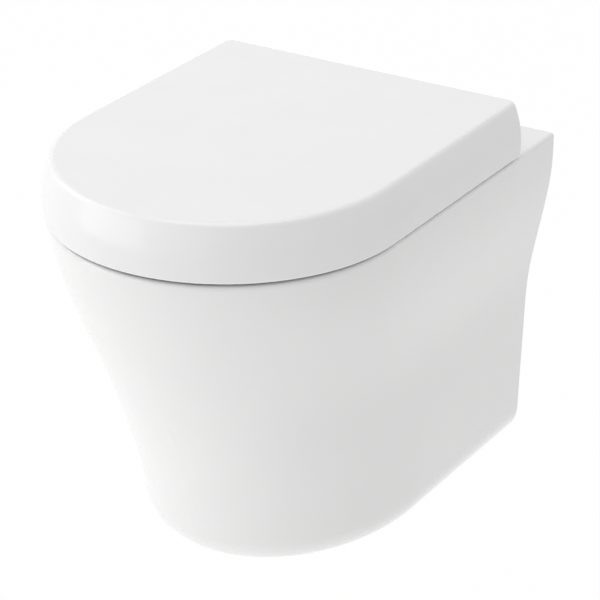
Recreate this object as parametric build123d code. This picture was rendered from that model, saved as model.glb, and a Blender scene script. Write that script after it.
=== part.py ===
from build123d import *
import math
import os

# Wall hung toilet with a wrap over seat and lid, in millimetres.
# The wall is the plane y = 0, the front points to -Y and +Z is up.
# The origin lies on the wall, midway between the two wall studs.

# Driving sizes of the pan's outside
pan_width = 364.0
pan_depth = 533.5
deck_height = 80.0
base_drop = 296.0
waist_width = 311.5
waist_top = 63.0
waist_bottom = -127.0
foot_taper = 0.036
foot_setback = 127.5
setback_bend = 0.6
rim_nose = 186.0
waist_nose = 206.0
foot_nose = 182.0
base_rounding = 41.0
rim_edge_radius = 4.0
wall_edge_radius = 2.0

# Walls of the fired ceramic
skirt_wall = 11.0
deck_wall = 13.0
floor_wall = 13.0
bowl_wall = 10.0
web_wall = 12.0

# Bowl
rim_width = 46.0
rim_side_width = 50.0
bowl_back = 150.0
bowl_corner = 62.0
opening_nose = 150.0
ledge_depth = 68.0
ledge_width = 12.0
sump_half_width = 38.0
sump_front = 262.0
sump_back = 186.0
sump_nose = 42.0
sump_corner = 30.0
sump_rounding = 18.0
bowl_fullness = 0.62
inner_rim_radius = 6.0

# Trap, waste outlet and flush inlet
outlet_drop = 100.0
outlet_radius = 51.0
outlet_wall = 7.0
outlet_setback = 5.0
outlet_length = 45.0
trap_radius = 29.0
trap_wall = 9.0
water_seal = 50.0
weir_rise = 4.0
trap_bend = 45.0
trap_start = 225.0
trap_foot = 168.0
trap_crest = 118.0
inlet_rise = 35.0
inlet_radius = 27.5
inlet_wall = 10.0
inlet_setback = 5.0
inlet_length = 55.0
channel_radius = 18.0
hood_width = 96.0
hood_depth = 26.0
hood_wall = 8.0
hood_radius = 5.0
hood_top_gap = 12.0
hood_height = 46.0

# Wall studs and the brackets that hang the pan on them
stud_spacing = 180.0
stud_hole_radius = 6.5
bracket_width = 44.0
bracket_wall = 4.0
bracket_offset = 6.0
bracket_low = -18.0
bracket_top = 14.0
bracket_reach = 112.0
bracket_slope = 16.0
cheek_step = 1.0
weld_boss_radius = 8.0
web_back = 50.0
web_low = -168.0
web_clearance = 3.0

# Seat posts, which share their holes in the deck with the clamp screws
post_spacing = 155.0
post_radius = 5.0
post_height = 14.5
post_chamfer = 1.2
post_socket_radius = 2.3
neck_radius = 3.9
neck_low = 6.5
neck_high = 9.2
neck_slope = 0.4
shank_radius = 4.0
shank_chamfer = 0.8
shank_drop = 38.0
deck_hole_radius = 8.0
column_radius = 20.0
shelf_wall = 14.0
disc_radius = 18.0
disc_height = 3.0
disc_rounding = 1.2
gasket_height = 1.0
gasket_inset = 1.0
plug_length = 33.0
plug_slit = 0.8
nut_length = 18.0
nut_inset = 0.6
nut_wall = 1.2
screw_radius = 4.0
screw_head_radius = 6.5
screw_head_height = 8.0
screw_head_chamfer = 0.8
screw_socket_radius = 3.46
screw_tip_gap = 2.0
socket_depth = 4.0
washer_height = 2.0
washer_inset = 0.5
washer_play = 0.3
screw_hole_radius = 4.75
fit_gap = 0.05
thread_gap = 0.02

# Hinge line of seat and lid
hinge_back = 92.0
hinge_rise = 26.0
barrel_radius = 10.5
housing_length = 39.0
knuckle_length = 30.0
hinge_gap = 0.5
pin_radius = 4.0
pin_engagement = 15.0
damper_radius = 7.0
damper_length = 28.0
housing_foot_width = 31.0
housing_foot_depth = 18.0
housing_foot_radius = 3.0
housing_floor_gap = 0.3
socket_end_gap = 0.5
clip_wire_radius = 0.8
clip_slot_room = 3.4
clip_slot_half = 1.2
clip_leg = 0.6
button_width = 12.0
button_height = 7.6
button_travel = 2.5
button_proud = 3.0
button_pocket = 3.6
button_play = 0.1
button_rounding = 1.0
button_stop_gap = 0.2
prong_wall = 1.4
prong_reach = 2.0
prong_half = 0.9
shaft_end_gap = 0.5

# Lid, a cap that wraps over the seat
lid_width = 372.0
lid_front = 536.0
lid_back = 78.5
lid_nose = 189.0
lid_gap = 3.5
lid_height = 58.5
lid_shoulder = 17.0
lid_draw_in = 9.0
lid_wall = 5.0
lid_corner = 9.0
lid_top_corner = 12.0
lid_edge_radius = 6.0
lid_hem_radius = 3.0
lid_notch_height = 38.5
gusset_wall = 4.0
gusset_gap = 4.0
gusset_toe = 2.0
gusset_reach = 18.0
lid_swing_gap = 1.5

# Seat ring, a channel that is open below
seat_gap = 4.0
seat_lift = 6.0
seat_height = 40.0
seat_wall = 5.0
seat_corner = 22.0
hole_width = 216.0
hole_front = 456.0
hole_back = 170.0
hole_nose = 120.0
hole_corner = 66.0
seat_outer_radius = 8.0
seat_inner_radius = 12.0
seat_rib_wall = 3.0
seat_rib_lift = 4.0
side_rib_backs = (280.0, 340.0)
front_rib_x = 35.0
front_rib_start = 60.0
buffer_length = 26.0
buffer_width = 12.0
buffer_chamfer = 1.5
buffer_seat_wall = 2.0
front_buffer_turn = 38.0
peg_radius = 2.5
peg_length = 8.0
side_buffer_x = 143.0
side_buffer_back = 215.0
front_buffer_x = 92.0
front_buffer_back = 450.0

# Levels and places that follow from the sizes above
deck_z = deck_height
base_z = -base_drop
inner_deck_z = deck_z - deck_wall
floor_z = base_z + floor_wall
outlet_z = -outlet_drop
outlet_bore = outlet_radius - outlet_wall
weir_z = outlet_z - outlet_bore + weir_rise
crest_z = weir_z + trap_radius
sump_z = weir_z - water_seal - trap_radius
bowl_floor_z = sump_z - trap_radius
ledge_z = deck_z - ledge_depth
stud_x = stud_spacing / 2
post_x = post_spacing / 2
shelf_z = bracket_top + shelf_wall
gasket_z = deck_z + gasket_height
disc_z = gasket_z + disc_height
hinge_z = deck_z + hinge_rise
housing_inner = post_x - housing_length / 2
housing_outer = post_x + housing_length / 2
lid_z = deck_z + lid_gap
lid_top_z = lid_z + lid_height
lid_inner_z = lid_top_z - lid_wall
seat_z = deck_z + seat_lift
seat_top_z = seat_z + seat_height
seat_half = lid_width / 2 - lid_wall - seat_gap
seat_front = lid_front - lid_wall - seat_gap
seat_nose = lid_nose - lid_wall - seat_gap
lid_swing = math.hypot(hinge_back - lid_back, hinge_z - lid_z)
seat_back = hinge_back + lid_swing + lid_swing_gap
clip_z = disc_z + (neck_low + neck_high) / 2
knuckle_start = housing_outer + hinge_gap
knuckle_end = housing_inner - hinge_gap
sides = (("left", -1), ("right", 1))


def smooth_step(share):
    """Ease from 0 to 1 with level ends."""
    share = min(max(share, 0.0), 1.0)
    return share * share * (3.0 - 2.0 * share)


def spread(low, high, count):
    """Evenly spaced values from low to high."""
    return [low + (high - low) * step / (count - 1) for step in range(count)]


def d_face(z, half_width, front, nose, back, corner=0.0):
    """A level face with a straight back, straight sides and an elliptical nose."""
    turn = -front + nose
    outline = Line((half_width, -back), (-half_width, -back))
    outline += Line((-half_width, -back), (-half_width, turn))
    outline += EllipticalCenterArc((0, turn), half_width, nose, 180, arc_size=90)
    outline += EllipticalCenterArc((0, turn), half_width, nose, 270, arc_size=90)
    outline += Line((half_width, turn), (half_width, -back))
    face = make_face(outline)
    if corner > 0:
        rear = face.vertices().sort_by(Axis.Y)[-2:]
        face = fillet(rear, corner)
    return Plane.XY.offset(z) * face


def rod(x, y, z, radius, length, direction):
    """A round bar that starts at a point and runs in a direction."""
    return Solid.make_cylinder(radius, length, Plane(origin=(x, y, z), z_dir=direction))


def block(x_low, x_high, y_low, y_high, z_low, z_high):
    """A box between two corners."""
    centre = ((x_low + x_high) / 2, (y_low + y_high) / 2, (z_low + z_high) / 2)
    return Pos(*centre) * Box(x_high - x_low, y_high - y_low, z_high - z_low)


def side_block(side, x_low, x_high, y_low, y_high, z_low, z_high):
    """A box whose x limits are measured outwards from the middle, on one side."""
    ends = sorted((side * x_low, side * x_high))
    return block(ends[0], ends[1], y_low, y_high, z_low, z_high)


def pan_half_width(z):
    """Half the pan's width: full at the deck, drawn in to the waist by an S curve."""
    share = smooth_step((z - waist_bottom) / (waist_top - waist_bottom))
    taper = max(waist_bottom - z, 0.0) * foot_taper
    return (waist_width + (pan_width - waist_width) * share) / 2 - taper


def pan_section(z, inset, back):
    """The pan's outline at a height, moved inwards by a wall."""
    drop = (deck_z - z) / (deck_z - base_z)
    set_in = foot_setback * ((1 - setback_bend) * drop + setback_bend * smooth_step(drop))
    bulge = waist_nose - (rim_nose + foot_nose) / 2
    nose = rim_nose + (foot_nose - rim_nose) * drop + 4 * bulge * drop * (1 - drop)
    return d_face(z, pan_half_width(z) - inset, pan_depth - set_in - inset, nose - inset, back)


def pan_body(inset, low, high, back, rounding):
    """The pan's outside, or its hollow when inset by a wall."""
    body = loft([pan_section(z, inset, back) for z in spread(low, high, 12)])
    foot = body.faces().sort_by(Axis.Z)[0].edges().sort_by(Axis.Y)[:-1]
    return fillet(foot, rounding)


def bowl_section(z, grow):
    """The bowl's outline at a height below the ledge, moved outwards by a wall."""
    share = max((z - bowl_floor_z) / (ledge_z - bowl_floor_z), 0.0) ** bowl_fullness
    top_half = pan_width / 2 - rim_side_width - ledge_width
    half = sump_half_width + (top_half - sump_half_width) * share
    front = sump_front + (pan_depth - rim_width - ledge_width - sump_front) * share
    back = sump_back + (bowl_back + ledge_width - sump_back) * share
    nose = sump_nose + (opening_nose - ledge_width - sump_nose) * share
    corner = sump_corner + (bowl_corner - ledge_width - sump_corner) * share
    return d_face(z, half + grow, front + grow, nose + grow, back - grow, corner + grow)


def bowl_body(grow):
    """The bowl below the flushing ledge, as a cutter or as its outer shell."""
    low = bowl_floor_z - grow
    body = loft([bowl_section(z, grow) for z in spread(low, ledge_z, 6)])
    foot = body.faces().sort_by(Axis.Z)[0].edges()
    return fillet(foot, sump_rounding + grow / 2)


def bowl_band(grow, low, high):
    """The upright band of the bowl between the ledge and the rim."""
    half = pan_width / 2 - rim_side_width + grow
    front = pan_depth - rim_width + grow
    face = d_face(low, half, front, opening_nose + grow, bowl_back - grow, bowl_corner + grow)
    return extrude(face, high - low)


def trap_body(grow):
    """The trapway: out of the sump, up to the weir and level to the outlet."""
    corners = [(0, -trap_start, sump_z), (0, -trap_foot, sump_z)]
    corners += [(0, -trap_crest, crest_z), (0, -outlet_length - trap_radius, crest_z)]
    path = FilletPolyline(*corners, radius=trap_bend)
    tube = sweep(Plane(origin=path @ 0, z_dir=path % 0) * Circle(trap_radius + grow), path)
    start = Plane(origin=path @ 1, z_dir=(0, 1, 0)) * Circle(trap_radius + grow)
    spigot_radius = outlet_bore + (outlet_wall if grow else 0.0)
    end = Plane(origin=(0, -outlet_length, outlet_z), z_dir=(0, 1, 0)) * Circle(spigot_radius)
    return tube, loft([start, end])


def make_pan():
    """The ceramic pan: skirt, deck, bowl, trap, flush inlet and fixing columns."""
    outside = pan_body(0.0, base_z, deck_z, -skirt_wall, base_rounding)
    outside -= block(-pan_width, pan_width, 0, 2 * skirt_wall, base_z - 1, deck_z + 1)
    rim_edges = outside.faces().sort_by(Axis.Z)[-1].edges().sort_by(Axis.Y)[:-1]
    outside = fillet(rim_edges, rim_edge_radius)
    outside = fillet(outside.faces().sort_by(Axis.Y)[-1].edges(), wall_edge_radius)
    hollow_rounding = base_rounding - skirt_wall
    hollow = pan_body(skirt_wall, floor_z, inner_deck_z, -skirt_wall, hollow_rounding)
    pan = outside - hollow

    web = block(-pan_width, pan_width, -web_back - web_wall, -web_back, web_low, inner_deck_z)
    pan += web & outside
    pan += bowl_band(bowl_wall, ledge_z - bowl_wall, inner_deck_z)
    pan += bowl_body(bowl_wall)
    for piece in trap_body(trap_wall):
        pan += piece
    spigot_run = outlet_length - outlet_setback
    pan += rod(0, -outlet_length, outlet_z, outlet_radius, spigot_run, (0, 1, 0))
    inlet_outer = inlet_radius + inlet_wall
    pan += rod(0, -bowl_back, inlet_rise, inlet_outer, bowl_back - inlet_setback, (0, 1, 0))
    for _, side in sides:
        column_height = deck_z - deck_wall / 2 - bracket_top
        pan += rod(side * post_x, -hinge_back, bracket_top, column_radius, column_height, (0, 0, 1))
        rib = side_block(side, post_x - web_wall / 2, post_x + web_wall / 2,
                         -hinge_back, -web_back - web_wall / 2, bracket_top, inner_deck_z)
        pan += rib

    pan -= bowl_band(0.0, ledge_z, deck_z + 1)
    deck = pan.faces().filter_by(Axis.Z).sort_by(Axis.Z)[-1]
    pan = fillet(deck.inner_wires()[0].edges(), inner_rim_radius)
    pan -= bowl_body(0.0)
    for piece in trap_body(0.0):
        pan -= piece
    pan -= rod(0, -outlet_length, outlet_z, outlet_bore, outlet_length, (0, 1, 0))
    pan -= rod(0, -inlet_length, inlet_rise, inlet_radius, inlet_length, (0, 1, 0))
    channel_run = bowl_back + 1 - inlet_length
    pan -= rod(0, -bowl_back - 1, inlet_rise, channel_radius, channel_run, (0, 1, 0))
    for _, side in sides:
        pan -= rod(side * post_x, -hinge_back, shelf_z, deck_hole_radius, deck_z, (0, 0, 1))
        pan -= rod(side * post_x, -hinge_back, 0, screw_hole_radius, deck_z, (0, 0, 1))
        low_x = stud_x - bracket_offset - bracket_width / 2 - web_clearance
        high_x = low_x + bracket_width + 2 * web_clearance
        pan -= side_block(side, low_x, high_x, -web_back - web_wall - 1, -web_back + 1,
                          bracket_low - web_clearance, bracket_top + web_clearance)

    hood_z = deck_z - hood_top_gap
    hood_front = bowl_back + hood_depth
    hood = block(-hood_width / 2, hood_width / 2, -hood_front, -bowl_back + 2,
                 hood_z - hood_height, hood_z)
    hood = fillet(hood.edges().filter_by(Axis.X).sort_by(Axis.Y)[:2], hood_radius)
    hood -= block(-hood_width, hood_width, -hood_front + hood_wall, -bowl_back,
                  hood_z - hood_height - 1, hood_z - hood_wall)
    return pan + hood


def lid_section(z, inset):
    """The lid's outline at a height: upright below its shoulder, drawn in above it."""
    share = max(z - lid_z - lid_shoulder, 0.0) / (lid_height - lid_shoulder)
    draw = lid_draw_in * share * share + inset
    corner = lid_corner + (lid_top_corner - lid_corner) * share
    half = lid_width / 2 - draw
    return d_face(z, half, lid_front - draw, lid_nose - draw, lid_back + inset, corner)


def hinge_rod(side, start, length, radius):
    """A round bar on the hinge line, from a distance out from the middle."""
    return rod(side * start, -hinge_back, hinge_z, radius, length, (side, 0, 0))


def make_lid():
    """The lid: a moulded cap with hinge knuckles and gussets inside its back."""
    outside = loft([lid_section(z, 0.0) for z in spread(lid_z, lid_top_z, 7)])
    top_edges = outside.faces().sort_by(Axis.Z)[-1].edges()
    outside = fillet(top_edges, lid_edge_radius)
    outside = fillet(outside.faces().sort_by(Axis.Z)[0].edges(), lid_hem_radius)
    inside = loft([lid_section(z, lid_wall) for z in spread(lid_z - 1, lid_inner_z, 7)])
    lid = outside - inside
    notch_top = lid_z + lid_notch_height
    lid -= block(-knuckle_start, knuckle_start, -lid_back - lid_wall - 1, 0, 0, notch_top)
    for _, side in sides:
        lid += hinge_rod(side, knuckle_start, knuckle_length, barrel_radius)
        lid += side_block(side, knuckle_start, knuckle_start + knuckle_length,
                          -hinge_back, -lid_back - lid_wall / 2, hinge_z, lid_inner_z + 1)
        for start in spread(knuckle_start, knuckle_start + knuckle_length - gusset_wall, 3):
            lid += gusset(side, start)
        bore = damper_radius if side > 0 else pin_radius
        lid -= hinge_rod(side, knuckle_start - 1, damper_length + 1, bore + fit_gap)
    return lid


def gusset(side, start):
    """A rib that ties a lid knuckle to the lid's top."""
    foot = -hinge_back - barrel_radius
    points = [(-hinge_back, hinge_z), (foot, hinge_z)]
    points += [(foot - gusset_toe, seat_top_z + gusset_gap), (foot - gusset_reach, lid_inner_z + 1)]
    points += [(-lid_back - lid_wall / 2, lid_inner_z + 1)]
    face = make_face(Polyline(*points, close=True))
    placed = Plane(origin=(side * start, 0, 0), x_dir=(0, 1, 0), z_dir=(1, 0, 0)) * face
    return extrude(placed, side * gusset_wall)


def ring_block(inset, low, high):
    """The seat ring's outline with its hole, moved in from both edges by a wall."""
    outer = d_face(low, seat_half - inset, seat_front - inset, seat_nose - inset,
                   seat_back + inset, seat_corner - inset / 2)
    hole = d_face(low, hole_width / 2 + inset, hole_front + inset, hole_nose + inset,
                  hole_back - inset, hole_corner + inset)
    return extrude(outer, high - low) - extrude(hole, high - low)


def buffer_places():
    """Middles of the four buffers and the turn that lays each along the ring."""
    places = []
    for _, side in sides:
        places.append((side * side_buffer_x, -side_buffer_back, 90.0))
        places.append((side * front_buffer_x, -front_buffer_back, side * front_buffer_turn))
    return places


def buffer_block(place, length, width, low, high):
    """An upright block with round ends at one buffer place."""
    x, y, turn = place
    return extrude(Pos(x, y, low) * Rot(0, 0, turn) * SlotOverall(length, width), high - low)


def make_seat_ring():
    """The seat ring: a channel open below, with ribs, buffer pads and hinge knuckles."""
    ring = ring_block(0.0, seat_z, seat_top_z)
    top_edges = ring.faces().sort_by(Axis.Z)[-1].edges()
    hole_edges = [e for e in top_edges if on_hole(e)]
    outer_edges = [e for e in top_edges if not on_hole(e)]
    ring = fillet(outer_edges, seat_outer_radius)
    again = ring.faces().sort_by(Axis.Z)[-1].edges()
    ring = fillet([e for e in again if on_hole(e)], seat_inner_radius)
    filled = ring
    roof = seat_top_z - seat_wall - 1
    channel = ring_block(seat_wall, seat_z - 1, roof)
    channel -= block(-seat_half, seat_half, -seat_back - 2 * seat_wall, 0, 0, roof + 1)
    ring -= channel
    for place in buffer_places():
        room = 2 * buffer_seat_wall
        pad = buffer_block(place, buffer_length + room, buffer_width + room, seat_z, roof + 1)
        ring += pad & filled
    half_rib = seat_rib_wall / 2
    for back in side_rib_backs:
        ring += block(-seat_half, seat_half, -back - half_rib, -back + half_rib,
                      seat_z + seat_rib_lift, roof + 1) & filled
    for _, side in sides:
        middle = side * front_rib_x
        ring += block(middle - half_rib, middle + half_rib, -seat_front,
                      -hole_front + front_rib_start, seat_z + seat_rib_lift, roof + 1) & filled
    for place in buffer_places():
        ring -= Pos(place[0], place[1], 0) * Pos(0, 0, seat_z + peg_length / 2) * Cylinder(
            peg_radius + fit_gap, peg_length + 1)
    for _, side in sides:
        start = knuckle_end - knuckle_length
        ring += hinge_rod(side, start, knuckle_length, barrel_radius)
        ring += side_block(side, start, knuckle_end, -seat_back - seat_wall, -hinge_back,
                           hinge_z - barrel_radius + 1, hinge_z + barrel_radius - 1)
        bore = damper_radius if side < 0 else pin_radius
        ring -= hinge_rod(side, knuckle_end - damper_length, damper_length + 1, bore + fit_gap)
    return ring


def on_hole(edge):
    """True for an edge of the seat ring's hole, not of its outside."""
    middle = edge @ 0.5
    inside = abs(middle.X) < hole_width / 2 + 1
    return inside and hole_back - 1 < -middle.Y < hole_front + 1


def make_housing(side):
    """A hinge housing: barrel, foot and the sockets for post, shafts, clip and button."""
    foot_z = disc_z + housing_floor_gap
    housing = hinge_rod(side, housing_inner, housing_length, barrel_radius)
    foot = side_block(side, post_x - housing_foot_width / 2, post_x + housing_foot_width / 2,
                      -hinge_back - housing_foot_depth / 2, -hinge_back + housing_foot_depth / 2,
                      foot_z, hinge_z)
    foot = fillet(foot.edges().filter_by(Axis.Z), housing_foot_radius)
    housing += foot
    post_run = disc_z + post_height - deck_z + socket_end_gap
    housing -= rod(side * post_x, -hinge_back, deck_z, post_radius + fit_gap, post_run, (0, 0, 1))
    for start in (housing_inner - 1, housing_outer - pin_engagement):
        housing -= hinge_rod(side, start, pin_engagement + 1, pin_radius + fit_gap)
    slot_half = post_radius + clip_slot_room
    housing -= side_block(side, post_x - slot_half, post_x + slot_half,
                          -hinge_back - slot_half + 1, -hinge_back + housing_foot_depth,
                          clip_z - clip_slot_half, clip_z + clip_slot_half)
    pocket_y = -hinge_back + housing_foot_depth / 2 - button_pocket
    half_wide = button_width / 2 + button_play
    half_high = button_height / 2 + button_play
    housing -= side_block(side, post_x - half_wide, post_x + half_wide, pocket_y,
                          -hinge_back + housing_foot_depth, clip_z - half_high, clip_z + half_high)
    return housing


def make_clip(side):
    """The wire clip that grips the post's neck, open towards the button."""
    bend = neck_radius + clip_wire_radius + fit_gap
    centre_x = side * post_x
    leg_end = -hinge_back + post_radius + clip_leg
    path = Line((centre_x - bend, leg_end, clip_z), (centre_x - bend, -hinge_back, clip_z))
    path += CenterArc((centre_x, -hinge_back, clip_z), bend, 180, 180)
    path += Line((centre_x + bend, -hinge_back, clip_z), (centre_x + bend, leg_end, clip_z))
    wire = Plane(origin=path @ 0, z_dir=path % 0) * Circle(clip_wire_radius)
    return sweep(wire, path)


def make_button(side):
    """A push button with a fork that spreads the clip when it is pressed."""
    back = -hinge_back + housing_foot_depth / 2
    inner = back - button_pocket + button_travel + button_stop_gap
    centre_x = side * post_x
    cap = block(centre_x - button_width / 2, centre_x + button_width / 2, inner,
                back + button_proud, clip_z - button_height / 2, clip_z + button_height / 2)
    cap = fillet(cap.faces().sort_by(Axis.Y)[-1].edges(), button_rounding)
    prong_out = post_radius + prong_reach
    for start in (-prong_out, prong_out - prong_wall):
        cap += block(centre_x + start, centre_x + start + prong_wall, inner - prong_reach,
                     inner + prong_wall, clip_z - prong_half, clip_z + prong_half)
    return cap


def make_post(side):
    """A turned post with its neck, its threaded shank and a hex socket."""
    top = disc_z + post_height
    low, high = disc_z + neck_low, disc_z + neck_high
    end = deck_z - shank_drop
    outline = [(0, end), (shank_radius - shank_chamfer, end), (shank_radius, end + shank_chamfer)]
    outline += [(shank_radius, disc_z), (post_radius, disc_z), (post_radius, low)]
    outline += [(neck_radius, low + neck_slope), (neck_radius, high - neck_slope)]
    outline += [(post_radius, high), (post_radius, top - post_chamfer)]
    outline += [(post_radius - post_chamfer, top), (0, top)]
    profile = Plane.XZ * make_face(Polyline(*outline, close=True))
    post = revolve(profile, Axis.Z)
    hexagon = RegularPolygon(post_socket_radius, 6)
    socket = Pos(0, 0, top - socket_depth) * extrude(hexagon, socket_depth + 1)
    return Pos(side * post_x, -hinge_back, 0) * (post - socket)


def ring_disc(side, low, height, radius, bore):
    """A flat washer round a post's middle line."""
    outer = Pos(side * post_x, -hinge_back, low + height / 2) * Cylinder(radius, height)
    return outer - Pos(side * post_x, -hinge_back, low + height / 2) * Cylinder(bore, height + 2)


def make_base_disc(side):
    """The bright disc under a hinge housing, with a softened rim."""
    disc = ring_disc(side, gasket_z, disc_height, disc_radius, shank_radius + fit_gap)
    rim = disc.edges().filter_by(GeomType.CIRCLE).sort_by(SortBy.RADIUS)[-2:].sort_by(Axis.Z)[-1:]
    return fillet(rim, disc_rounding)


def nut_profile(grow):
    """Half outline of the cone nut, or of the seat for it in the plug."""
    low = deck_z - plug_length - nut_length / 3
    wide = deck_hole_radius - nut_inset + grow
    slim = shank_radius + nut_wall + grow
    cone_foot = low + nut_length / 3
    top = low + nut_length
    return [(0, low), (wide, low), (wide, cone_foot), (slim, top + grow), (0, top + grow)]


def make_cone_nut(side):
    """The nut that spreads the plug as the post is screwed in."""
    nut = revolve(Plane.XZ * make_face(Polyline(*nut_profile(0.0), close=True)), Axis.Z)
    nut -= Pos(0, 0, deck_z - plug_length) * Cylinder(shank_radius + thread_gap, 2 * plug_length)
    return Pos(side * post_x, -hinge_back, 0) * nut


def make_plug(side):
    """The slit rubber plug that the nut spreads in the deck's hole."""
    radius = deck_hole_radius - fit_gap
    plug = Pos(0, 0, deck_z - plug_length / 2) * Cylinder(radius, plug_length)
    plug -= revolve(Plane.XZ * make_face(Polyline(*nut_profile(2 * fit_gap), close=True)), Axis.Z)
    plug -= Pos(0, 0, deck_z) * Cylinder(shank_radius + fit_gap, 3 * plug_length)
    slit_foot = deck_z - plug_length
    for turn in (0, 90):
        plug -= Rot(0, 0, turn) * Pos(0, 0, slit_foot) * Box(3 * radius, plug_slit, plug_length)
    return Pos(side * post_x, -hinge_back, 0) * plug


def make_clamp_screw(side):
    """The hex socket screw that ties the pan's shelf to its wall bracket."""
    head_z = shelf_z + washer_height
    low = bracket_low + bracket_wall + screw_tip_gap
    shank = rod(0, 0, low, screw_radius, head_z - low + 1, (0, 0, 1))
    head = Pos(0, 0, head_z + screw_head_height / 2) * Cylinder(screw_head_radius, screw_head_height)
    head = chamfer(head.edges().sort_by(Axis.Z)[-1], screw_head_chamfer)
    socket_z = head_z + screw_head_height - socket_depth
    socket = Pos(0, 0, socket_z) * extrude(RegularPolygon(screw_socket_radius, 6), socket_depth + 1)
    return Pos(side * post_x, -hinge_back, 0) * (shank + head - socket)


def make_bracket(side):
    """A folded steel bracket: eye plate on the stud, channel and a boss threaded down to its floor."""
    inner = stud_x - bracket_offset - bracket_width / 2
    outer = inner + bracket_width
    bracket = side_block(side, inner, outer, -bracket_reach, 0, bracket_low,
                         bracket_low + bracket_wall)
    bracket += side_block(side, inner, outer, -bracket_wall, 0, bracket_low, bracket_top)
    for start in (inner, outer - bracket_wall):
        cheek = side_block(side, start, start + bracket_wall, -bracket_reach, 0,
                           bracket_low, bracket_top - cheek_step)
        front_top = cheek.edges().filter_by(Axis.X).group_by(Axis.Z)[-1].sort_by(Axis.Y)[0]
        bracket += chamfer(front_top, bracket_slope)
    boss_z = bracket_low + bracket_wall / 2
    bracket += rod(side * post_x, -hinge_back, boss_z, weld_boss_radius, bracket_top - boss_z, (0, 0, 1))
    hole_low = bracket_low + bracket_wall
    bracket -= rod(side * post_x, -hinge_back, hole_low, screw_radius + thread_gap,
                   bracket_top - hole_low + 1, (0, 0, 1))
    return bracket - rod(side * stud_x, -2 * bracket_wall, 0, stud_hole_radius, 3 * bracket_wall, (0, 1, 0))


def make_damper(side):
    """A rotary damper cartridge that fills its knuckle and turns on a shaft."""
    if side < 0:
        start = knuckle_end - damper_length
        mouth = knuckle_end - pin_engagement
    else:
        start = knuckle_start
        mouth = start - 1
    cartridge = hinge_rod(side, start, damper_length, damper_radius)
    return cartridge - hinge_rod(side, mouth, pin_engagement + 1, pin_radius + fit_gap)


def make_shaft(side, outboard):
    """A shaft or pin fixed in a housing and running in the knuckle beside it."""
    length = 2 * pin_engagement + hinge_gap - 2 * shaft_end_gap
    if outboard:
        return hinge_rod(side, housing_outer - pin_engagement + shaft_end_gap, length, pin_radius)
    return hinge_rod(side, knuckle_end - pin_engagement + shaft_end_gap, length, pin_radius)


def make_buffers():
    """Four soft buffers, pegged into the seat ring and resting on the rim."""
    buffers = []
    for place in buffer_places():
        pad = buffer_block(place, buffer_length, buffer_width, deck_z, seat_z)
        pad = chamfer(pad.faces().sort_by(Axis.Z)[0].edges(), buffer_chamfer)
        peg = rod(place[0], place[1], seat_z - 1, peg_radius, peg_length, (0, 0, 1))
        buffers.append(pad + peg)
    return Compound(buffers)


def make_lid_buffers():
    """Four small buffers on the lid's underside, resting on the seat ring."""
    buffers = []
    for x, y, _ in buffer_places():
        height = lid_inner_z - seat_top_z
        stud = Pos(x, y, seat_top_z + height / 2) * Cylinder(buffer_width / 2, height)
        buffers.append(chamfer(stud.edges().sort_by(Axis.Z)[0], buffer_chamfer))
    return Compound(buffers)


def pair(maker):
    """Both copies of a piece that is the same on each side, as separate solids."""
    return Compound([maker(side) for _, side in sides])


os.makedirs("parts", exist_ok=True)
parts = {"pan": make_pan(), "lid": make_lid(), "seat_ring": make_seat_ring()}
parts["seat_buffers"] = make_buffers()
parts["lid_buffers"] = make_lid_buffers()
for name, side in sides:
    parts["hinge_housing_" + name] = make_housing(side)
    parts["hinge_clip_" + name] = make_clip(side)
    parts["release_button_" + name] = make_button(side)
    parts["hinge_post_" + name] = make_post(side)
    parts["wall_bracket_" + name] = make_bracket(side)
parts["base_discs"] = pair(make_base_disc)
parts["disc_gaskets"] = pair(
    lambda side: ring_disc(side, deck_z, gasket_height, disc_radius - gasket_inset, shank_radius + fit_gap))
parts["expansion_plugs"] = pair(make_plug)
parts["cone_nuts"] = pair(make_cone_nut)
parts["clamp_screws"] = pair(make_clamp_screw)
parts["clamp_washers"] = pair(
    lambda side: ring_disc(side, shelf_z, washer_height, deck_hole_radius - washer_inset,
                           screw_radius + washer_play))
parts["seat_damper"] = make_damper(-1)
parts["lid_damper"] = make_damper(1)
parts["seat_damper_shaft"] = make_shaft(-1, False)
parts["lid_damper_shaft"] = make_shaft(1, True)
parts["seat_pin"] = make_shaft(1, False)
parts["lid_pin"] = make_shaft(-1, True)

for node, shape in parts.items():
    export_step(shape, "parts/" + node + ".step")
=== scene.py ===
# %% [markdown]
# # A wall hung toilet, dressed in Blender
# The measured model comes first, as a fixed frame: every piece of the toilet is already there at its real
# size, in metres, with the wall at y = 0, the front towards -Y and +Z up. This lesson gives that frame its
# looks. It sets the camera, the soft studio light and the finishes, and it models the fine pieces that are
# too small for the frame, such as the screw threads.

# %% Load the frame
import math

import bmesh
import bpy
from mathutils import Matrix, Vector


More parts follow.
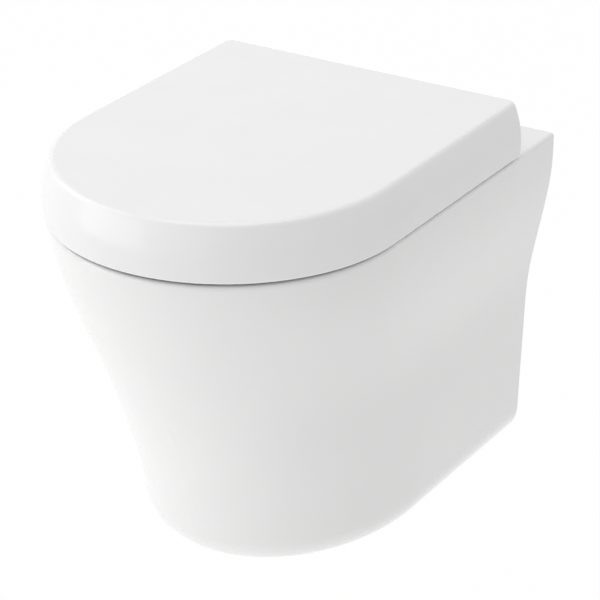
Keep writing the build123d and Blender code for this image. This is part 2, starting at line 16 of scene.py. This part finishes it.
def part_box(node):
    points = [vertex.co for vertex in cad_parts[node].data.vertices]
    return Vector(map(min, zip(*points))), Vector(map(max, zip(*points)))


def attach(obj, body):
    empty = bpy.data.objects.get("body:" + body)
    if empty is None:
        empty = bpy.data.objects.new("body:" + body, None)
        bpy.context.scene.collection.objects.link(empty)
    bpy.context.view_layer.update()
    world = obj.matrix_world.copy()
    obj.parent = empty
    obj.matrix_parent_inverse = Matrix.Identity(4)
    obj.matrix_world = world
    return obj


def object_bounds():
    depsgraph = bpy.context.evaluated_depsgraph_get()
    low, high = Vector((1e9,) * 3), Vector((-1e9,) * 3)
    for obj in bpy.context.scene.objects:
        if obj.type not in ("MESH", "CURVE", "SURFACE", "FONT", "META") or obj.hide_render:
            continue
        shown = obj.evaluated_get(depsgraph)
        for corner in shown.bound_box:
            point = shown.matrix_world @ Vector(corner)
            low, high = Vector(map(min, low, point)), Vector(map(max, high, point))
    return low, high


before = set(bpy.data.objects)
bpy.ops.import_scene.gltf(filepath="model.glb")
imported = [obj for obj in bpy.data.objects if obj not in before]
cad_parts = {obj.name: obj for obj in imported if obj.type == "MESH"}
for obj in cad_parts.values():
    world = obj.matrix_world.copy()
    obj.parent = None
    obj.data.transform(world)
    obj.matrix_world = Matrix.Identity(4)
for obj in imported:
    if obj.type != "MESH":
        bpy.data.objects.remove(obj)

cad_low, cad_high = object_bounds()
size = cad_high - cad_low
print("frame size in mm:", [round(1000 * s) for s in size], "nodes:", len(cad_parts))

# %% [markdown]
# ## Camera
# The photographer stood to the right of the toilet's front and looked down on it from well back, with a long
# lens, so the far edges hardly shrink. A camera is placed here by the direction that it looks back along,
# which is an angle round the object and an angle above the horizon. That is easier to read than three
# rotations, and a track quaternion turns it into the camera's own turn.

# %% Place the camera
camera_place = Vector((1.36259, -2.41656, 1.16382))
camera_azimuth = math.radians(31.798)
camera_elevation = math.radians(25.572)
lens_length = 163.16
nearest_seen = 0.05
farthest_seen = 50

back = Vector((
    math.sin(camera_azimuth) * math.cos(camera_elevation),
    -math.cos(camera_azimuth) * math.cos(camera_elevation),
    math.sin(camera_elevation),
))
camera = bpy.data.objects.new("camera", bpy.data.cameras.new("camera"))
camera.data.lens = lens_length
camera.data.clip_start = nearest_seen
camera.data.clip_end = farthest_seen
camera.location = camera_place
camera.rotation_mode = "QUATERNION"
camera.rotation_quaternion = (-back).to_track_quat("-Z", "Y")
bpy.context.scene.collection.objects.link(camera)
bpy.context.scene.camera = camera
bpy.context.scene.view_settings.view_transform = "Standard"
print("camera distance in m:", round(camera_place.length, 2))

# %% [markdown]
# ## Floor and light
# In the photograph the toilet floats on pure white, so there is no wall. The floor is a plain white sheet
# well below the pan. It must look white and still take the soft shadow, so for the camera, mirrors and
# glass its own lit colour is mixed with a plain white glow. Light Path says which ray is asking. The light
# that it throws up onto the toilet is its own, with a little glow added, as from a lit studio table. The
# sheet is clear from below, so that the toilet's underside can be looked at too.

# %% Helpers for node trees
def add_node(tree, kind, **settings):
    """A new node with its settings made."""
    node = tree.nodes.new(kind)
    for key, value in settings.items():
        setattr(node, key, value)
    return node


def math_node(tree, operation, first, second=0.0):
    """The result of one calculation with two numbers or sockets."""
    node = add_node(tree, "ShaderNodeMath", operation=operation)
    for socket, value in zip(node.inputs, (first, second)):
        if isinstance(value, (int, float)):
            socket.default_value = value
        else:
            tree.links.new(value, socket)
    return node.outputs[0]


def seen_ray(tree):
    """1 for a ray from the camera, or from a mirror or glass, and 0 for light that falls on the object."""
    path = add_node(tree, "ShaderNodeLightPath")
    seen = math_node(tree, "MAXIMUM", path.outputs["Is Camera Ray"], path.outputs["Is Glossy Ray"])
    return math_node(tree, "MAXIMUM", seen, path.outputs["Is Transmission Ray"])


# %% Floor
floor_drop = 0.35
floor_half = 4.0
floor_white = 0.86
floor_roughness = 0.9
floor_shine = 0.2
seen_glow_share = 0.985
table_glow = 0.2

bm = bmesh.new()
bmesh.ops.create_grid(bm, x_segments=2, y_segments=2, size=floor_half)
floor_level = cad_low.z - floor_drop
bmesh.ops.translate(bm, verts=bm.verts, vec=(0, 0, floor_level))
floor = bpy.data.objects.new("floor", bpy.data.meshes.new("floor"))
bm.to_mesh(floor.data)
bm.free()
bpy.context.scene.collection.objects.link(floor)
print("floor level in m:", round(floor_level, 3))

# %% Floor sheet
sheet = bpy.data.materials.new("floor_sheet")
sheet.use_nodes = True
tree = sheet.node_tree
paint = tree.nodes["Principled BSDF"]
paint.inputs["Base Color"].default_value = (floor_white, floor_white, floor_white, 1)
paint.inputs["Roughness"].default_value = floor_roughness
paint.inputs["Specular IOR Level"].default_value = floor_shine
seen = seen_ray(tree)
white = add_node(tree, "ShaderNodeEmission")
lit_or_white = add_node(tree, "ShaderNodeMixShader")
tree.links.new(math_node(tree, "MULTIPLY", seen, seen_glow_share), lit_or_white.inputs[0])
tree.links.new(paint.outputs[0], lit_or_white.inputs[1])
tree.links.new(white.outputs[0], lit_or_white.inputs[2])
glow = add_node(tree, "ShaderNodeEmission")
unseen = math_node(tree, "SUBTRACT", 1.0, seen)
tree.links.new(math_node(tree, "MULTIPLY", unseen, table_glow), glow.inputs["Strength"])
with_glow = add_node(tree, "ShaderNodeAddShader")
tree.links.new(lit_or_white.outputs[0], with_glow.inputs[0])
tree.links.new(glow.outputs[0], with_glow.inputs[1])
facing = add_node(tree, "ShaderNodeNewGeometry")
clear = add_node(tree, "ShaderNodeBsdfTransparent")
one_sided = add_node(tree, "ShaderNodeMixShader")
tree.links.new(facing.outputs["Backfacing"], one_sided.inputs[0])
tree.links.new(with_glow.outputs[0], one_sided.inputs[1])
tree.links.new(clear.outputs[0], one_sided.inputs[2])
tree.links.new(one_sided.outputs[0], tree.nodes["Material Output"].inputs["Surface"])
floor.data.materials.append(sheet)
print("floor sheet: white share as seen", seen_glow_share, "and glow that it adds", table_glow)

# %% [markdown]
# ## Studio light
# A white glossy object shows its form only by how the light falls off round it. In the photograph the left
# front is almost as bright as the background, the top is a little darker and the right side is the darkest,
# with no hard shadow anywhere. A sky of even light and the table's bounce give the darkest tone. Two large
# soft lamps on the left make the bright side: the low one also lights the pan where it draws in towards its
# foot. One overhead makes the top, and a weak one in front fills the round of the nose. All are wide and far
# off, so that they leave no sharp image in the glaze.

# %% World
sky_level = 0.5

world = bpy.data.worlds.new("studio")
bpy.context.scene.world = world
world.use_nodes = True
tree = world.node_tree
sky = tree.nodes["Background"]
sky.inputs["Color"].default_value = (1, 1, 1, 1)
extra = math_node(tree, "MULTIPLY", seen_ray(tree), 1 - sky_level)
tree.links.new(math_node(tree, "ADD", extra, sky_level), sky.inputs["Strength"])
print("sky level:", sky_level)

# %% Lamps
lamp_distance = 3.2
lamp_width = 2.6


def soft_lamp(name, azimuth, elevation, watts):
    """A square area lamp that faces the middle of the object from a direction in degrees."""
    a, e = math.radians(azimuth), math.radians(elevation)
    toward = Vector((math.sin(a) * math.cos(e), -math.cos(a) * math.cos(e), math.sin(e)))
    lamp = bpy.data.objects.new(name, bpy.data.lights.new(name, "AREA"))
    lamp.data.shape = "SQUARE"
    lamp.data.size = lamp_width
    lamp.data.energy = watts
    lamp.location = (cad_low + cad_high) / 2 + toward * lamp_distance
    lamp.rotation_mode = "QUATERNION"
    lamp.rotation_quaternion = (-toward).to_track_quat("-Z", "Y")
    bpy.context.scene.collection.objects.link(lamp)
    print(name, "at", [round(v, 2) for v in lamp.location])


soft_lamp("left_lamp", -75, 35, watts=20)
soft_lamp("low_left_lamp", -40, -5, watts=25)
soft_lamp("front_lamp", 0, 8, watts=7)
soft_lamp("top_lamp", 0, 88, watts=31)

# %% [markdown]
# ## Finishes
# Every finish is built from nodes and reads Object coordinates, which are metres in the toilet's own frame,
# so a pattern keeps its real scale and stays put when a part moves. A finish is never one flat colour: even
# a white glaze drifts a little in tone and gloss, and its skin has a faint waviness. The steps that several
# finishes share are small helpers here, and each finish below is one short function.

# %% Start a finish
def start_finish(name, colour, roughness, **settings):
    """A new material, its node tree, its shader and the Object coordinates."""
    finish = bpy.data.materials.new(name)
    finish.use_nodes = True
    tree = finish.node_tree
    shader = tree.nodes["Principled BSDF"]
    shader.inputs["Base Color"].default_value = (*colour, 1)
    shader.inputs["Roughness"].default_value = roughness
    for socket, value in settings.items():
        shader.inputs[socket.replace("_", " ")].default_value = value
    return finish, tree, shader, add_node(tree, "ShaderNodeTexCoord").outputs["Object"]


def dress(finish, *names):
    """Gives a finish to frame nodes, in place of the plain one that they came with."""
    for name in names:
        for index in range(len(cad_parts[name].data.materials)):
            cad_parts[name].data.materials[index] = finish
    print(finish.name, "on", ", ".join(names))


# %% Patterns
def noise(tree, place, scale, detail=2.0):
    """A cloudy pattern whose features are about 1 / scale metres wide."""
    node = add_node(tree, "ShaderNodeTexNoise")
    node.inputs["Scale"].default_value = scale
    node.inputs["Detail"].default_value = detail
    tree.links.new(place, node.inputs["Vector"])
    return node.outputs["Fac"]


def between(tree, factor, low, high, from_low=0.35, from_high=0.65):
    """Maps the middle of a pattern onto a range of numbers."""
    node = add_node(tree, "ShaderNodeMapRange")
    node.inputs["From Min"].default_value = from_low
    node.inputs["From Max"].default_value = from_high
    node.inputs["To Min"].default_value = low
    node.inputs["To Max"].default_value = high
    tree.links.new(factor, node.inputs["Value"])
    return node.outputs["Result"]


# %% Blends and relief
def blend_colours(tree, factor, first, second):
    """A colour that runs from the first to the second, each a colour or a socket, with a factor."""
    node = add_node(tree, "ShaderNodeMix", data_type="RGBA")
    first_socket, second_socket, result = node.inputs[6], node.inputs[7], node.outputs[2]
    tree.links.new(factor, node.inputs[0])
    for socket, colour in ((first_socket, first), (second_socket, second)):
        if isinstance(colour, tuple):
            socket.default_value = (*colour, 1)
        else:
            tree.links.new(colour, socket)
    return result


def relief(tree, shader, height, depth, strength=1.0, under=None):
    """A bump with a real depth in metres, which can lie on another bump."""
    node = add_node(tree, "ShaderNodeBump")
    node.inputs["Strength"].default_value = strength
    node.inputs["Distance"].default_value = depth
    tree.links.new(height, node.inputs["Height"])
    if under is not None:
        tree.links.new(under, node.inputs["Normal"])
    tree.links.new(node.outputs["Normal"], shader.inputs["Normal"])
    return node.outputs["Normal"]


def axis_of(tree, place, axis):
    """One coordinate of a place."""
    split = add_node(tree, "ShaderNodeSeparateXYZ")
    tree.links.new(place, split.inputs[0])
    return split.outputs[axis]


# %% [markdown]
# ## Glazed china
# The pan is vitreous china. It is cast in a plaster mould, sprayed with white glaze and fired once, so the
# glaze is glassy, with a slow wave left by the spray and a very slight drift in tone. The face that meets the
# wall rests on the kiln's shelf and stays unglazed: there the cream body shows, dull and grainy. Both are one
# material, because they are one fired piece, and the depth from the wall tells them apart.

# %% Finish of the pan
glaze_white = (0.93, 0.93, 0.925)
glaze_drift = (0.918, 0.92, 0.914)
bisque_cream = (0.80, 0.76, 0.69)
bisque_shade = (0.72, 0.68, 0.61)
glaze_roughness = (0.08, 0.14)
bisque_dullness = 0.62
bare_depth = 0.0015
bare_fade = 0.0005
drift_per_metre = 9
gloss_per_metre = 24
grain_per_metre = 900
grain_relief = 0.0003
wave_per_metre = 55
wave_relief = 0.00006


def glazed_china():
    """White glaze with an unglazed wall face, where the fired body shows."""
    finish, tree, shader, place = start_finish(
        "glazed_china", glaze_white, 0.1, Coat_Weight=0.4, Coat_Roughness=0.05, IOR=1.52)
    grain = noise(tree, place, grain_per_metre, detail=3)
    ragged = math_node(tree, "MULTIPLY", math_node(tree, "SUBTRACT", grain, 0.5), 2 * bare_fade)
    depth = math_node(tree, "ADD", axis_of(tree, place, "Y"), ragged)
    bare = between(tree, depth, 0, 1, -bare_depth, bare_fade - bare_depth)

    drift = between(tree, noise(tree, place, drift_per_metre), 0, 1)
    glaze = blend_colours(tree, drift, glaze_white, glaze_drift)
    body = blend_colours(tree, between(tree, grain, 0, 1), bisque_cream, bisque_shade)
    tree.links.new(blend_colours(tree, bare, glaze, body), shader.inputs["Base Color"])

    gloss = between(tree, noise(tree, place, gloss_per_metre, detail=3), *glaze_roughness)
    dull = math_node(tree, "MULTIPLY", bare, bisque_dullness)
    tree.links.new(math_node(tree, "ADD", gloss, dull), shader.inputs["Roughness"])

    swell = noise(tree, place, wave_per_metre, detail=1)
    wave = relief(tree, shader, swell, wave_relief, strength=0.6)
    bare_grain = math_node(tree, "MULTIPLY", grain, bare)
    relief(tree, shader, bare_grain, grain_relief, strength=0.6, under=wave)
    return finish


dress(glazed_china(), "pan")

# %% [markdown]
# ## Pressed seat plastic
# Lid and seat ring are pressed from a hard white thermoset, which looks almost like the china beside it. Its
# polish comes from the steel mould, so it is even and has none of the glaze's slow waves, only a very fine
# skin. It is a little whiter and less glassy than the glaze.

# %% Finish of lid and seat ring
plastic_white = (0.94, 0.94, 0.94)
plastic_drift = (0.93, 0.93, 0.932)
plastic_roughness = (0.19, 0.25)
tone_per_metre = 14
sheen_per_metre = 45
polish_per_metre = 700
polish_relief = 0.00002


def pressed_plastic():
    """A hard white pressed plastic with an even polish."""
    finish, tree, shader, place = start_finish(
        "pressed_plastic", plastic_white, 0.2, Coat_Weight=0.15, Coat_Roughness=0.12, IOR=1.5)
    tone = between(tree, noise(tree, place, tone_per_metre), 0, 1)
    tree.links.new(blend_colours(tree, tone, plastic_white, plastic_drift), shader.inputs["Base Color"])
    gloss = between(tree, noise(tree, place, sheen_per_metre, detail=3), *plastic_roughness)
    tree.links.new(gloss, shader.inputs["Roughness"])
    relief(tree, shader, noise(tree, place, polish_per_metre), polish_relief, strength=0.4)
    return finish


dress(pressed_plastic(), "lid", "seat_ring")

# %% [markdown]
# ## Hinge mouldings, dampers and buffers
# The hinge housings and their buttons are injection moulded with a satin skin, which a spark-worn mould
# leaves as a fine random grain. The two damper cartridges are a dark glass-filled moulding, whose short
# fibres show as faint streaks along the barrel. The buffers are a pale soft rubber, matt and a little dusty.

# %% Finish of the hinge mouldings
moulding_white = (0.885, 0.885, 0.88)
moulding_shade = (0.865, 0.865, 0.862)
moulding_roughness = (0.33, 0.45)
shade_per_metre = 60
spark_per_metre = 2600
spark_relief = 0.00003


def satin_moulding():
    """White injection moulded plastic with a fine spark-worn grain."""
    finish, tree, shader, place = start_finish("satin_moulding", moulding_white, 0.38, IOR=1.5)
    skin = noise(tree, place, spark_per_metre, detail=3)
    tone = between(tree, noise(tree, place, shade_per_metre), 0, 1)
    tree.links.new(blend_colours(tree, tone, moulding_white, moulding_shade), shader.inputs["Base Color"])
    tree.links.new(between(tree, skin, *moulding_roughness), shader.inputs["Roughness"])
    relief(tree, shader, skin, spark_relief, strength=0.6)
    return finish


moulding_finish = satin_moulding()
dress(moulding_finish, "hinge_housing_left", "hinge_housing_right",
      "release_button_left", "release_button_right")

# %% Finish of the dampers
damper_dark = (0.042, 0.042, 0.046)
damper_fibre = (0.075, 0.075, 0.08)
damper_roughness = (0.38, 0.55)
fibre_per_metre = 2200
fibre_stretch = 0.12
fibre_relief = 0.00002


def damper_moulding():
    """Dark moulding with short fibres that lie along the hinge line."""
    finish, tree, shader, place = start_finish("damper_moulding", damper_dark, 0.45, IOR=1.5)
    along = add_node(tree, "ShaderNodeMapping")
    along.inputs["Scale"].default_value = (fibre_stretch, 1, 1)
    tree.links.new(place, along.inputs["Vector"])
    fibres = noise(tree, along.outputs[0], fibre_per_metre, detail=3)
    tone = between(tree, fibres, 0, 1)
    tree.links.new(blend_colours(tree, tone, damper_dark, damper_fibre), shader.inputs["Base Color"])
    tree.links.new(between(tree, fibres, *damper_roughness), shader.inputs["Roughness"])
    relief(tree, shader, fibres, fibre_relief, strength=0.5)
    return finish


dress(damper_moulding(), "seat_damper", "lid_damper")

# %% Finish of the rubbers
rubber_per_metre = 1500
dust_per_metre = 120
rubber_relief = 0.00004
rubber_gloss, rubber_dulling = 0.06, 0.08


def soft_rubber(name, colour, bloom, roughness):
    """Rubber with a bloom of dust in the low spots of its skin."""
    finish, tree, shader, place = start_finish(name, colour, roughness, IOR=1.5, Sheen_Weight=0.1)
    skin = noise(tree, place, rubber_per_metre, detail=4)
    cloud = noise(tree, place, dust_per_metre, detail=3)
    dust = math_node(tree, "MULTIPLY", between(tree, skin, 0, 1), between(tree, cloud, 0, 1))
    tree.links.new(blend_colours(tree, dust, colour, bloom), shader.inputs["Base Color"])
    dullness = between(tree, cloud, roughness - rubber_gloss, roughness + rubber_dulling)
    tree.links.new(dullness, shader.inputs["Roughness"])
    relief(tree, shader, skin, rubber_relief, strength=0.6)
    return finish


pale_rubber = soft_rubber("pale_rubber", (0.80, 0.80, 0.79), (0.72, 0.71, 0.69), 0.55)
black_rubber = soft_rubber("black_rubber", (0.02, 0.02, 0.021), (0.07, 0.07, 0.068), 0.6)
dress(pale_rubber, "lid_buffers", "seat_buffers")
dress(black_rubber, "disc_gaskets", "expansion_plugs")

# %% [markdown]
# ## Metals
# Posts, discs and pins are turned from stainless steel, and the tool leaves rings: round the axis on a
# cylinder and like a record on a flat face. The rings are a wave along the axis or outward from it, so one
# function serves all once it is told what to measure. The brackets, screws and washers are zinc plated, which
# shows as a blotchy grey crystal pattern, and the cone nuts are turned brass.

# %% Places to measure along
post_x = 0.0775
post_y = -0.092


def from_post(tree, place):
    """The distance from the nearer seat post's axis."""
    across = math_node(tree, "SUBTRACT", math_node(tree, "ABSOLUTE", axis_of(tree, place, "X")), post_x)
    back = math_node(tree, "SUBTRACT", axis_of(tree, place, "Y"), post_y)
    squares = math_node(tree, "ADD", math_node(tree, "MULTIPLY", across, across),
                        math_node(tree, "MULTIPLY", back, back))
    return math_node(tree, "SQRT", squares)


def up_post(tree, place):
    """The height, which is the way along a post."""
    return axis_of(tree, place, "Z")


def along_hinge(tree, place):
    """The way along the hinge line."""
    return axis_of(tree, place, "X")


# %% Turned metals
ring_pitch = 0.00025
ring_relief = 0.000006
wobble_per_metre = 400
smear_per_metre = 90
smear_gloss, smear_dulling = 0.05, 0.1
steel, steel_shade = (0.72, 0.72, 0.74), (0.62, 0.62, 0.64)
brass, brass_shade = (0.78, 0.60, 0.28), (0.66, 0.48, 0.2)


def turned_metal(name, colour, shade, measure, roughness):
    """Turned metal, with tool rings a quarter of a millimetre apart along what is measured."""
    finish, tree, shader, place = start_finish(name, colour, roughness, Metallic=1.0)
    wobble = math_node(tree, "MULTIPLY", noise(tree, place, wobble_per_metre), ring_pitch)
    distance = math_node(tree, "ADD", measure(tree, place), wobble)
    turns = math_node(tree, "MULTIPLY", distance, 2 * math.pi / ring_pitch)
    smear = noise(tree, place, smear_per_metre, detail=4)
    tone = between(tree, smear, 0, 1)
    tree.links.new(blend_colours(tree, tone, colour, shade), shader.inputs["Base Color"])
    dullness = between(tree, smear, roughness - smear_gloss, roughness + smear_dulling)
    tree.links.new(dullness, shader.inputs["Roughness"])
    relief(tree, shader, math_node(tree, "SINE", turns), ring_relief, strength=0.5)
    return finish


faced_steel = turned_metal("faced_steel", steel, steel_shade, from_post, 0.16)
post_steel = turned_metal("turned_post_steel", steel, steel_shade, up_post, 0.2)
pin_steel = turned_metal("turned_pin_steel", steel, steel_shade, along_hinge, 0.2)
nut_brass = turned_metal("turned_brass", brass, brass_shade, up_post, 0.26)
dress(faced_steel, "base_discs")
dress(post_steel, "hinge_post_left", "hinge_post_right")
dress(pin_steel, "seat_damper_shaft", "lid_damper_shaft", "seat_pin", "lid_pin")
dress(nut_brass, "cone_nuts")

# %% Drawn wire
wire_bright, wire_dark = (0.62, 0.62, 0.63), (0.5, 0.5, 0.5)
wire_roughness = (0.18, 0.34)
drawn_per_metre = 1800
drawn_relief = 0.00001


def drawn_wire():
    """Springy steel wire with a slightly oily, drawn skin."""
    finish, tree, shader, place = start_finish("drawn_wire", wire_bright, 0.25, Metallic=1.0)
    skin = noise(tree, place, drawn_per_metre, detail=3)
    tone = between(tree, skin, 0, 1)
    tree.links.new(blend_colours(tree, tone, wire_bright, wire_dark), shader.inputs["Base Color"])
    tree.links.new(between(tree, skin, *wire_roughness), shader.inputs["Roughness"])
    relief(tree, shader, skin, drawn_relief, strength=0.5)
    return finish


dress(drawn_wire(), "hinge_clip_left", "hinge_clip_right")

# %% Zinc plate
zinc_dark, zinc_bright, zinc_haze = (0.5, 0.51, 0.53), (0.64, 0.65, 0.67), (0.46, 0.46, 0.47)
zinc_roughness = (0.3, 0.5)
crystals_per_metre = 320
haze_per_metre = 70
haze_share = 0.5
crystal_relief = 0.000008


def zinc_plate():
    """Zinc plate: blotchy crystals, with a dull haze over them."""
    finish, tree, shader, place = start_finish("zinc_plate", zinc_dark, 0.4, Metallic=1.0)
    crystals = add_node(tree, "ShaderNodeTexVoronoi")
    crystals.inputs["Scale"].default_value = crystals_per_metre
    tree.links.new(place, crystals.inputs["Vector"])
    tone = axis_of(tree, crystals.outputs["Color"], "X")
    haze = noise(tree, place, haze_per_metre, detail=4)
    plate = blend_colours(tree, tone, zinc_dark, zinc_bright)
    dulled = blend_colours(tree, between(tree, haze, 0, haze_share), plate, zinc_haze)
    tree.links.new(dulled, shader.inputs["Base Color"])
    tree.links.new(between(tree, haze, *zinc_roughness), shader.inputs["Roughness"])
    relief(tree, shader, tone, crystal_relief, strength=0.4)
    return finish


zinc_finish = zinc_plate()
dress(zinc_finish, "clamp_screws", "clamp_washers", "wall_bracket_left", "wall_bracket_right")

# %% [markdown]
# ## Screw threads
# The two screws that tie the pan to its wall brackets have a coarse metric thread. A thread is one small
# outline wound round the shank: a single spin turns it and climbs at the same time, which is quicker and
# more even than placing rings. The outline has a flat crest and sloping flanks, and its root sits just inside
# the shank, so no seam shows.

# %% New pieces
def new_piece(name, bm, body, finish):
    """An object from a bmesh, which rides on a body and wears a finish."""
    piece = bpy.data.objects.new(name, bpy.data.meshes.new(name))
    bm.to_mesh(piece.data)
    bm.free()
    piece.data.materials.append(finish)
    bpy.context.scene.collection.objects.link(piece)
    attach(piece, body)
    print(name, "has", len(piece.data.polygons), "faces")
    return piece


# %% Threads of the clamp screws
thread_pitch = 0.00125
thread_root = 0.0039
thread_crest = 0.00418
root_half = 0.00050
crest_half = 0.00008
steps_in_a_turn = 24
thread_low = -0.0105
thread_high = 0.0270


def thread_ridge(name, x, y, low, high):
    """The ridge of a screw thread, wound up a shank."""
    steps = round((high - low) / thread_pitch * steps_in_a_turn)
    outline = ((thread_root, -root_half), (thread_crest, -crest_half),
               (thread_crest, crest_half), (thread_root, root_half))
    bm = bmesh.new()
    start = bm.faces.new([bm.verts.new((x + reach, y, low + rise)) for reach, rise in outline])
    bmesh.ops.spin(bm, geom=[start], cent=(x, y, 0), axis=(0, 0, 1), dvec=(0, 0, (high - low) / steps),
                   angle=2 * math.pi * steps / steps_in_a_turn, steps=steps)
    bmesh.ops.recalc_face_normals(bm, faces=bm.faces)
    return new_piece(name, bm, "pan", zinc_finish)


for side, word in ((-1, "left"), (1, "right")):
    thread_ridge("screw_thread_" + word, side * post_x, post_y, thread_low, thread_high)

# %% [markdown]
# ## Grip ribs
# A finger finds the release button behind the seat by touch. Three low ribs across its face, moulded with it,
# keep a wet finger from sliding off. Each rib is a bar with rounded edges, sunk a little into the button so
# that it grows out of the face, and it moves with the button.

# %% Ribs of the release buttons
rib_length = 0.0084
rib_height = 0.0007
rib_proud = 0.0004
rib_sunk = 0.0003
rib_spacing = 0.0016
rib_rounding = 0.0002
rib_segments = 3
button_low, button_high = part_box("release_button_left")
button_face = button_high.y
button_middle = (button_low.z + button_high.z) / 2


def grip_ribs(name, x, body):
    """Three bars with rounded edges across a button's face."""
    bm = bmesh.new()
    for step in (-1, 0, 1):
        middle = (x, button_face + (rib_proud - rib_sunk) / 2, button_middle + step * rib_spacing)
        stretch = Matrix.Diagonal((rib_length, rib_proud + rib_sunk, rib_height, 1))
        bmesh.ops.create_cube(bm, size=1, matrix=Matrix.Translation(middle) @ stretch)
    bmesh.ops.bevel(bm, geom=bm.edges[:], offset=rib_rounding, segments=rib_segments, profile=0.5,
                    affect="EDGES", material=-1, clamp_overlap=True)
    return new_piece(name, bm, body, moulding_finish)


for side, word in ((-1, "left"), (1, "right")):
    ribs = grip_ribs("button_ribs_" + word, side * post_x, "button_" + word)
    for polygon in ribs.data.polygons:
        polygon.use_smooth = True
